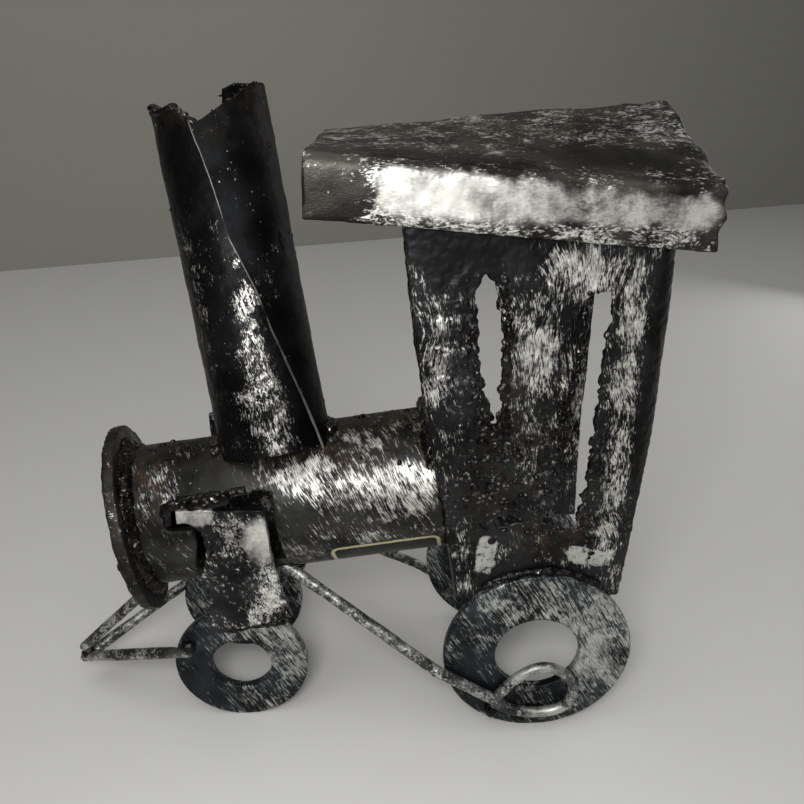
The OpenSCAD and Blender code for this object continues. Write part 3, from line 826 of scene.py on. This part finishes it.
@dataclass
class WorkedPiece:
    """A CAD piece made again with eased edges, dents and torch marks.

    Attributes:
        node: The CAD node.
        finish: Its finish.
        slot: Name of a material slot; not used.
        grain: Mesh size in millimetres.
        dents: Layers of unevenness.
        push: A change of shape before the dents, if any.
        crust: Layers of torch crust.
        crusted: Where that crust is.
    """

    node: str
    finish: Finish
    slot: str
    grain: float = 0.42
    dents: tuple[Hammering, ...] = (Hammering(6.0, 0.25), Hammering(1.4, 0.16))
    push: Push | None = None
    crust: tuple[Hammering, ...] = ()
    crusted: tuple[Zone, ...] = ()

    def build(self) -> Piece:
        """Builds and fixes the piece."""
        piece = bench_copy(self.node, f"{self.node}_worked")
        fine_skin(piece, self.grain)
        if self.push:
            shape(piece, self.push)
        for layer in self.dents:
            layer.beat(piece)
        for layer in self.crust:
            layer.beat(piece, self.crusted)
        smooth(piece, 60.0)
        finish_piece(piece, self.finish, self.slot, self.node)
        return piece


# ---- the engine


def wave(points: Array, sizes: Triple, seed: float) -> Array:
    """A smooth irregular wave, -1 to 1, over points in millimetres."""
    x, y, z = (points / np.array(sizes)).T
    slow = np.sin(x * 2.1 + seed) * np.cos(y * 1.7 - seed * 1.3) + np.sin(z * 2.6 + x * 0.9 + seed * 2.2)
    quick = 0.6 * np.sin(4.3 * x + 3.1 * z + seed * 3.7)
    return (slow + quick) / 2.6


def wander(points: Array, size: float, seed: float) -> Array:
    """A small random shift of each point, alike for points closer than size millimetres."""
    scaled = points / size + seed
    return np.array([noise_vector(Vector(p)) for p in scaled])


@dataclass
class Drops:
    """Weld drops spattered or run together on a piece.

    Attributes:
        name: The piece's name.
        seed: Seed of their sizes and turns.
        finish: Their finish.
        fused: Mesh size in millimetres at which touching drops melt into each other, or 0.
        ragged: How uneven a drop is, as a share of its radius.
        squat: A drop's height over its width.
    """

    name: str
    seed: int
    finish: Finish = Finish.SLAG
    fused: float = 0.0
    ragged: float = 0.22
    squat: float = 0.72
    spots: list[tuple[Array, Array, float]] = field(default_factory=list)

    def __post_init__(self) -> None:
        """Starts the drops' own random numbers."""
        self.random = np.random.default_rng(self.seed)

    def scatter(self, piece: Piece, zone: Zone, count: int, low: float, high: float) -> None:
        """Spatters drops over a piece inside a zone.

        Args:
            piece: The worked piece they stick to.
            zone: Where they fall.
            count: How many.
            low: The smallest radius in millimetres.
            high: The largest radius.
        """
        points, normals = Shop.local(vertices_of(piece)), normals_of(piece)
        inside = np.flatnonzero(zone.weight(points) > 0.3)
        for index in self.random.choice(inside, size=min(count, len(inside)), replace=False):
            radius = low + (high - low) * self.random.random() ** 2.2
            self.spots.append((points[index], normals[index], radius))

    def stick(self, piece: Piece, near: Triple, radius: float) -> None:
        """Sticks one drop to the point of a piece that is nearest to a place."""
        points = Shop.local(vertices_of(piece))
        index = int(np.argmin(np.linalg.norm(points - np.array(near), axis=1)))
        self.spots.append((points[index], normals_of(piece)[index], radius))

    def run(self, y: float, path: Sequence[tuple[float, float]], step: float,
            low: float, high: float) -> None:
        """Lays a row of overlapping drops along a path on an upright face.

        Args:
            y: Where the face is.
            path: Corners of the path, x and z in workshop millimetres.
            step: The distance between drops.
            low: The smallest radius.
            high: The largest radius.
        """
        corners = np.array([(x, y, z) for x, z in path])
        lengths = np.concatenate([[0.0], np.cumsum(np.linalg.norm(np.diff(corners, axis=0), axis=1))])
        for at in np.arange(0.0, lengths[-1], step):
            place = np.array([np.interp(at, lengths, corners[:, i]) for i in range(3)])
            jitter = (self.random.random(3) - 0.5) * step * 0.7
            radius = low + (high - low) * self.random.random()
            self.spots.append((place + jitter, np.array((0.0, -1.0, 0.0)), radius))

    def build(self) -> Piece:
        """Models one drop, copies it to every spot and joins the copies."""
        deselect()
        bpy.ops.mesh.primitive_ico_sphere_add(subdivisions=2, radius=1.0, location=(0.0, 0.0, 0.0))
        drop = bpy.context.object
        ball = vertices_of(drop)
        flat = np.array([1.0, 1.0, self.squat])
        copies = []
        for place, normal, radius in self.spots:
            copy = drop.copy()
            copy.data = drop.data.copy()
            bumps = 1.0 + self.ragged * wander(ball, 1.1, self.random.random() * 40.0)[:, :1]
            copy.data.vertices.foreach_set("co", (ball * bumps * flat).ravel())
            turn = Vector(normal).to_track_quat("Z", "Y").to_matrix().to_4x4()
            spin = Matrix.Rotation(self.random.random() * math.tau, 4, "Z")
            stretch = Matrix.Diagonal((1.0 + 0.5 * self.random.random(), 1.0, 1.0, 1.0))
            size = Matrix.Scale(radius * MM, 4)
            copy.matrix_world = Matrix.Translation(Shop.at(*place)) @ turn @ spin @ stretch @ size
            bpy.context.scene.collection.objects.link(copy)
            copies.append(copy)
        bpy.data.objects.remove(drop)
        deselect()
        for copy in copies:
            copy.select_set(True)
        bpy.context.view_layer.objects.active = copies[0]
        bpy.ops.object.join()
        piece = bpy.context.object
        piece.name = self.name
        if self.fused:
            settle(piece)
            fine_skin(piece, self.fused, 3)
        smooth(piece, 70.0)
        finish_piece(piece, self.finish, "weld_slag")
        return piece


@dataclass
class Boiler:
    """The boiler tube, the round plate on its front and the chimney with its lapped seam.

    Attributes:
        flap_rise: How far the flap's free edge stands off the chimney.
        flap_tuck: How deep its other edge lies in the chimney's wall.
        flap_span: Degrees that it covers.
        flap_ends: Heights on the chimney's axis between which it first lies.
        rim_gap: How far its top stays below the torn rim.
        seam_heights: Heights where seam_angles gives the free edge's place in degrees.
        rim_arcs: Start, end and step in degrees of the drops along the rim.
    """

    chimney_radius: float = 11.3
    flap_rise: float = 0.95
    flap_tuck: float = 0.25
    flap_span: float = 78.0
    flap_thickness: float = 0.5
    flap_ends: tuple[float, float] = (-5.0, 80.0)
    rim_gap: float = 0.4
    seam_heights: tuple[float, ...] = (-5.0, 0.0, 5.4, 15.0, 24.2, 32.0, 41.8, 52.8, 66.0, 80.0)
    seam_angles: tuple[float, ...] = (-26.0, -30.0, -37.0, -50.0, -62.0, -69.0, -83.0, -89.0, -100.0, -105.0)
    rim_arcs: tuple[Triple, ...] = ((-182.0, -98.0, 5.5), (-88.0, -20.0, 8.0), (60.0, 150.0, 7.0))

    def rim_height(self, chimney: Piece, angles: Array) -> Array:
        """The chimney's torn rim: its height at some angles round it."""
        local = into(CHIMNEY, Shop.local(vertices_of(chimney)))
        round_it = np.degrees(np.arctan2(local[:, 1], local[:, 0]))
        marks = np.arange(-180.0, 181.0, 5.0)
        tops = [local[np.abs(round_it - mark) < 4.0, 2].max() for mark in marks]
        return np.interp(angles, marks, tops)

    def lap_seam(self, chimney: Piece) -> Piece:
        """Rolls the chimney's free edge, a flap of sheet that lies over the sheet beside it."""
        deselect()
        bpy.ops.mesh.primitive_grid_add(x_subdivisions=26, y_subdivisions=150, size=1.0)
        flap = bpy.context.object
        flap.name = "chimney_flap"
        across, up = (vertices_of(flap)[:, i] + 0.5 for i in (0, 1))
        bottom, top = self.flap_ends
        height = bottom + up * (top - bottom)
        for _ in range(3):
            angle = np.interp(height, self.seam_heights, self.seam_angles) + across * self.flap_span
            low = -2.4 + 1.6 * np.clip((angle + 30.0) / 40.0, 0.0, 1.0)
            height = low + up * (self.rim_height(chimney, angle) - self.rim_gap - low)
        rise = self.flap_rise * (1.0 - across) ** 1.3 - self.flap_tuck * across
        radius = self.chimney_radius + rise
        turned = np.radians(angle)
        local = np.stack([radius * np.cos(turned), radius * np.sin(turned), height], axis=1)
        flap.data.vertices.foreach_set("co", Shop.row(out_of(CHIMNEY, local)).ravel())
        flap.data.update()
        mark = flap.data.attributes.new(FREE_EDGE, "FLOAT", "POINT")
        mark.data.foreach_set("value", np.clip(1.0 - across * 20.0, 0.0, 1.0).astype(np.float32))
        pick(flap)
        wall = flap.modifiers.new("wall", "SOLIDIFY")
        wall.thickness = self.flap_thickness * MM
        wall.offset = 1.0 if np.mean(normals_of(flap)[:, 1]) > 0 else -1.0
        apply_all(flap)
        Hammering(3.0, 0.28).beat(flap)
        smooth(flap, 40.0)
        finish_piece(flap, Finish.FLAP, "pipe_steel")
        return flap

    def rim_drops(self, chimney: Piece) -> None:
        """Runs drops of cut metal along the torn rim."""
        drops = Drops("chimney_rim_drops", 11, fused=0.22)
        angles = np.concatenate([np.arange(*arc) for arc in self.rim_arcs])
        angles = (angles + 180.0) % 360.0 - 180.0
        for angle, top in zip(angles, self.rim_height(chimney, angles)):
            lump = 1.1 if angle < -95.0 or angle > 100.0 else 0.7
            radius = self.chimney_radius - 0.8
            turned = math.radians(float(angle))
            local = np.array([[radius * math.cos(turned), radius * math.sin(turned), top - 0.5]])
            size = lump * (0.6 + 0.6 * drops.random.random())
            drops.spots.append((out_of(CHIMNEY, local)[0], np.array((0.0, 0.0, 1.0)), size))
        drops.build()

    def build(self) -> None:
        """Builds the three pieces and what sticks to them."""
        boiler = WorkedPiece("boiler_tube", Finish.BOILER, "pipe_steel", 0.5,
                             (Hammering(9.0, 0.25), Hammering(2.0, 0.10))).build()
        disc = WorkedPiece("smokebox_plate", Finish.DISC, "pipe_steel", 0.4,
                           (Hammering(5.0, 0.5), Hammering(1.4, 0.25))).build()
        chimney = WorkedPiece("chimney_pipe", Finish.CHIMNEY, "pipe_steel", 0.42,
                              (Hammering(7.0, 0.5), Hammering(1.5, 0.22))).build()
        self.lap_seam(chimney)
        self.rim_drops(chimney)
        spatter = Drops("boiler_spatter", 3)
        for piece, zone, count, low, high in (
                (boiler, Zone((-60, 0, 64), (22, 12, 7)), 42, 0.25, 0.75),
                (boiler, Zone((-30, 0, 68), (14, 12, 6)), 40, 0.25, 0.8),
                (boiler, Zone((-44, -13, 56), (26, 8, 12)), 22, 0.2, 0.5),
                (disc, Zone((-85, -17, 52), (5, 6, 14)), 6, 0.3, 0.9)):
            spatter.scatter(piece, zone, count, low, high)
        spatter.stick(disc, (-88.0, -12.0, 58.0), 1.3)
        spatter.build()
        soot = Drops("chimney_spatter", 5)
        soot.scatter(chimney, Zone((-56, -2, 95), (20, 20, 40)), 90, 0.16, 0.5)
        soot.build()


@dataclass
class Cab:
    """The cab's plates and its roof."""

    crusted: tuple[Zone, ...] = patches(
        -16, 6, (-12, 66, 9, 24, 1), (0, 62, 10, 18, 1), (8, 58, 4, 18, 1), (-18, 88, 4.5, 14, 1))

    def curl_roof(self, points: Array) -> Array:
        """Dents the roof and leaves its rear edge ragged."""
        rear = np.clip((points[:, 0] - 14.0) / 12.0, 0.0, 1.0)
        top = (points[:, 1] > -14.0).astype(float)
        dents = 0.5 * wave(points, (12.0, 9.0, 9.0), 2.0) + rear * 0.9 * wave(points, (5.0, 4.0, 6.0), 4.0)
        moved = points.copy()
        moved[:, 0] += rear * 0.8 * wave(points, (3.0, 2.2, 2.2), 1.0)
        moved[:, 2] += top * dents
        return moved

    def tear_slots(self, points: Array) -> Array:
        """Leaves the torch-cut slots of the near side ragged."""
        reach = np.clip((20.0 - np.abs(points[:, 0] + 2.0)) / 4.0, 0.0, 1.0)[:, None]
        low = np.clip((points[:, 2:3] - 46.0) / 6.0, 0.0, 1.0)
        shift = wander(points, 2.6, 3.0) * 0.9 + wander(points, 1.1, 9.0) * 0.5
        return points + shift * reach * low * np.array([1.0, 0.0, 1.0])

    def build(self) -> None:
        """Builds the four plates and the slag on them."""
        torch = (Hammering(7.0, 0.35), Hammering(1.6, 0.30), Hammering(0.8, 0.10))
        crust = (Hammering(3.2, 1.1), Hammering(1.3, 0.8))
        side = WorkedPiece("cab_near_side", Finish.CAB, "sheet_steel", 0.36, torch, self.tear_slots,
                           crust, self.crusted).build()
        WorkedPiece("cab_far_side", Finish.SHEET, "sheet_steel", 0.5, torch).build()
        front = WorkedPiece("cab_front_plate", Finish.SHEET, "sheet_steel", 0.5, torch[:2]).build()
        WorkedPiece("cab_roof", Finish.ROOF, "sheet_steel", 0.42,
                    (Hammering(10.0, 0.5), Hammering(3.0, 0.14)), self.curl_roof).build()
        slag = Drops("cab_slag", 8, fused=0.2)
        slag.run(-15.9, [(-10.3, 101), (-9.0, 92), (-9.3, 82), (-8.8, 70)], 0.8, 0.4, 1.05)
        slag.run(-16.0, [(-15.4, 92), (-14.4, 80), (-12.6, 68)], 1.1, 0.4, 1.0)
        slag.run(-16.0, [(4.6, 98), (3.6, 84), (1.2, 62)], 1.0, 0.35, 0.9)
        for zone, count, high in (
                (Zone((-13, -16, 66), (8, 3, 22)), 130, 0.95), (Zone((0, -16, 62), (8, 3, 16)), 110, 0.95),
                (Zone((9, -16, 62), (3, 3, 26)), 40, 0.7)):
            slag.scatter(side, zone, count, 0.25, high)
        slag.scatter(front, Zone((-27, -10, 80), (4, 8, 40)), 30, 0.25, 0.6)
        slag.build()


@dataclass
class RunningGear:
    """Legs, wheels, rods and the pilot.

    Attributes:
        loop: Corners of the near rod's loop, x and z in workshop millimetres.
        loop_y: Where that loop lies.
        loop_radius: Radius of its wire.
    """

    loop: tuple[tuple[float, float], ...] = (
        (-9.2, 8.4), (-6.9, 11.6), (-4.2, 15.0), (0.6, 17.8), (5.0, 16.6), (8.2, 12.6), (8.0, 7.6),
        (4.6, 5.0), (-0.6, 4.6), (-5.2, 5.6), (-9.6, 8.2))
    loop_y: float = -19.0
    loop_radius: float = 1.15

    def make_loop(self) -> Piece:
        """Bends the near rod's loop, a closed pear shape of thinner wire."""
        deselect()
        curve = bpy.data.curves.new("near_rod_loop_path", "CURVE")
        curve.dimensions = "3D"
        curve.bevel_depth = self.loop_radius * MM
        curve.bevel_resolution = 5
        curve.resolution_u = 8
        spline = curve.splines.new("NURBS")
        spline.points.add(len(self.loop) - 1)
        for point, (x, z) in zip(spline.points, self.loop):
            point.co = (*Shop.at(x, self.loop_y, z), 1.0)
        spline.order_u = 3
        spline.use_endpoint_u = True
        curve.use_fill_caps = True
        piece = bpy.data.objects.new("near_rod_loop_bent", curve)
        bpy.context.scene.collection.objects.link(piece)
        pick(piece)
        bpy.ops.object.convert(target="MESH")
        piece = bpy.context.object
        fine_skin(piece, 0.3, 1)
        Hammering(1.6, 0.16).beat(piece)
        smooth(piece, 60.0)
        return piece

    def build(self) -> None:
        """Builds every piece of the running gear."""
        torch = (Hammering(5.0, 0.4), Hammering(1.3, 0.34))
        bent = (Hammering(8.0, 0.4), Hammering(1.4, 0.12))
        small = (Hammering(4.0, 0.10), Hammering(1.2, 0.05))
        large = (Hammering(5.0, 0.10), Hammering(1.4, 0.05))
        for side in ("near", "far"):
            for node, finish, slot, grain, dents in (
                    ("front_leg", Finish.LEG, "sheet_steel", 0.3, torch),
                    ("front_wheel", Finish.WASHER, "washer_steel", 0.3, small),
                    ("rear_wheel", Finish.WASHER, "washer_steel", 0.34, large),
                    ("connecting_rod", Finish.WIRE, "wire", 0.28, bent)):
                WorkedPiece(f"{side}_{node}", finish, slot, grain, dents).build()
        for node in ("pilot_wire", "pilot_brace"):
            WorkedPiece(node, Finish.WIRE, "wire", 0.28, bent).build()
        finish_piece(self.make_loop(), Finish.WIRE, "wire", "near_rod_loop")
        lip = Drops("leg_slag", 14, fused=0.25)
        lip.run(-13.9, [(-73.4, 56.6), (-62.5, 57.6)], 0.7, 0.8, 1.3)
        lip.run(-13.9, [(-74.6, 56), (-74.4, 52.5)], 0.7, 0.6, 1.0)
        lip.run(-13.4, [(-66.6, 49), (-67.0, 42)], 0.9, 0.4, 0.8)
        lip.build()


@dataclass
class Welds:
    """Every weld bead, worked into a row of uneven drops."""

    nodes: tuple[str, ...] = (
        "smokebox_weld", "chimney_weld", "boiler_cab_weld", "cab_corner_welds", "roof_welds",
        "front_leg_welds", "front_wheel_welds", "rear_wheel_welds", "rod_welds", "pilot_welds")
    drops: tuple[Hammering, ...] = (Hammering(2.4, 1.1), Hammering(1.1, 0.5))

    def build(self) -> None:
        """Builds the beads."""
        for node in self.nodes:
            WorkedPiece(node, Finish.SLAG, "weld_slag", 0.26, self.drops).build()


# ---- studio


SENSOR = 36.0


@dataclass
class Studio:
    """Floor, backdrop, lights and camera.

    Attributes:
        camera_place: The camera's place, with its yaw, pitch and roll in degrees.
        focal: Its focal length, in parts of which the picture is frame wide.
        stage_size: Width of the floor and the backdrop in metres.
        wall_place: The backdrop's middle, with wall_turn in degrees.
    """

    camera_place: Triple = (-31.15, -135.21, 130.19)
    yaw: float = -1.51
    pitch: float = 23.45
    roll: float = -0.77
    focal: float = 715.0
    frame: float = 804.0
    stage_size: float = 30.0
    wall_place: Triple = (48.0, 587.0, 2000.0)
    wall_turn: float = 19.2

    def camera_axes(self) -> tuple[Vector, Vector, Vector]:
        """The camera's right, up and forward directions."""
        yaw, pitch, roll = (math.radians(a) for a in (self.yaw, self.pitch, self.roll))
        ahead = Vector((-math.sin(yaw), math.cos(yaw), 0.0))
        side = Vector((math.cos(yaw), math.sin(yaw), 0.0))
        vertical = Vector((0.0, 0.0, 1.0))
        forward = ahead * math.cos(pitch) - vertical * math.sin(pitch)
        upright = vertical * math.cos(pitch) + ahead * math.sin(pitch)
        right = side * math.cos(roll) + upright * math.sin(roll)
        up = upright * math.cos(roll) - side * math.sin(roll)
        return right, up, forward

    def build_camera(self) -> None:
        """Sets up the camera."""
        data = bpy.data.cameras.new("studio_camera")
        data.sensor_width = SENSOR
        data.lens = SENSOR * self.focal / self.frame
        data.clip_start = 0.005
        data.clip_end = 20.0
        camera = bpy.data.objects.new("studio_camera", data)
        right, up, forward = self.camera_axes()
        turn = Matrix((right, up, -forward)).transposed().to_4x4()
        camera.matrix_world = Matrix.Translation(Shop.at(*self.camera_place)) @ turn
        bpy.context.scene.collection.objects.link(camera)
        bpy.context.scene.camera = camera

    def add_panel(self, name: str, place: Triple, target: Triple, size: float, power: float) -> None:
        """Hangs one soft square light, aimed at a point."""
        data = bpy.data.lights.new(name, "AREA")
        data.size = size
        data.energy = power
        lamp = bpy.data.objects.new(name, data)
        lamp.location = Shop.at(*place)
        aim = Shop.at(*target) - lamp.location
        lamp.rotation_euler = aim.to_track_quat("-Z", "Y").to_euler()
        bpy.context.scene.collection.objects.link(lamp)

    def add_plane(self, name: str, finish: Finish, place: Sequence[float], turn: Triple) -> None:
        """Adds the floor or the backdrop, which takes no part in the engine."""
        deselect()
        bpy.ops.mesh.primitive_plane_add(size=self.stage_size, location=place, rotation=turn)
        plane = bpy.context.object
        plane.name = name
        settle(plane)
        dress(plane, finish)

    def build(self) -> None:
        """Builds the studio."""
        upright = (math.radians(90.0), 0.0, math.radians(self.wall_turn))
        self.add_plane("floor", Finish.FLOOR, (0.0, 0.0, 0.0), (0.0, 0.0, 0.0))
        self.add_plane("backdrop", Finish.WALL, Shop.at(*self.wall_place), upright)
        self.build_camera()
        self.add_panel("near_lamp", (-48.0, -150.0, 150.0), (-20.0, 0.0, 60.0), 0.05, 0.20)
        self.add_panel("overhead", (-60.0, -160.0, 700.0), (-20.0, 60.0, 40.0), 0.9, 3.0)
        self.add_panel("rear_fill", (300.0, 230.0, 150.0), (-20.0, 0.0, 70.0), 0.25, 0.20)
        world = bpy.data.worlds.new("soft_room")
        world.use_nodes = True
        sky = world.node_tree.nodes["Background"]
        sky.inputs["Color"].default_value = (0.95, 0.97, 1.0, 1.0)
        sky.inputs["Strength"].default_value = 0.12
        bpy.context.scene.world = world
        bpy.context.scene.view_settings.view_transform = "Standard"


def main() -> None:
    """Builds the engine and its studio."""
    logging.basicConfig(level=logging.INFO, format="%(message)s")
    seed_set(NOISE_SEED)
    Studio().build()
    Boiler().build()
    Cab().build()
    RunningGear().build()
    Welds().build()
    bpy.context.view_layer.update()


if __name__ == "__main__":
    main()
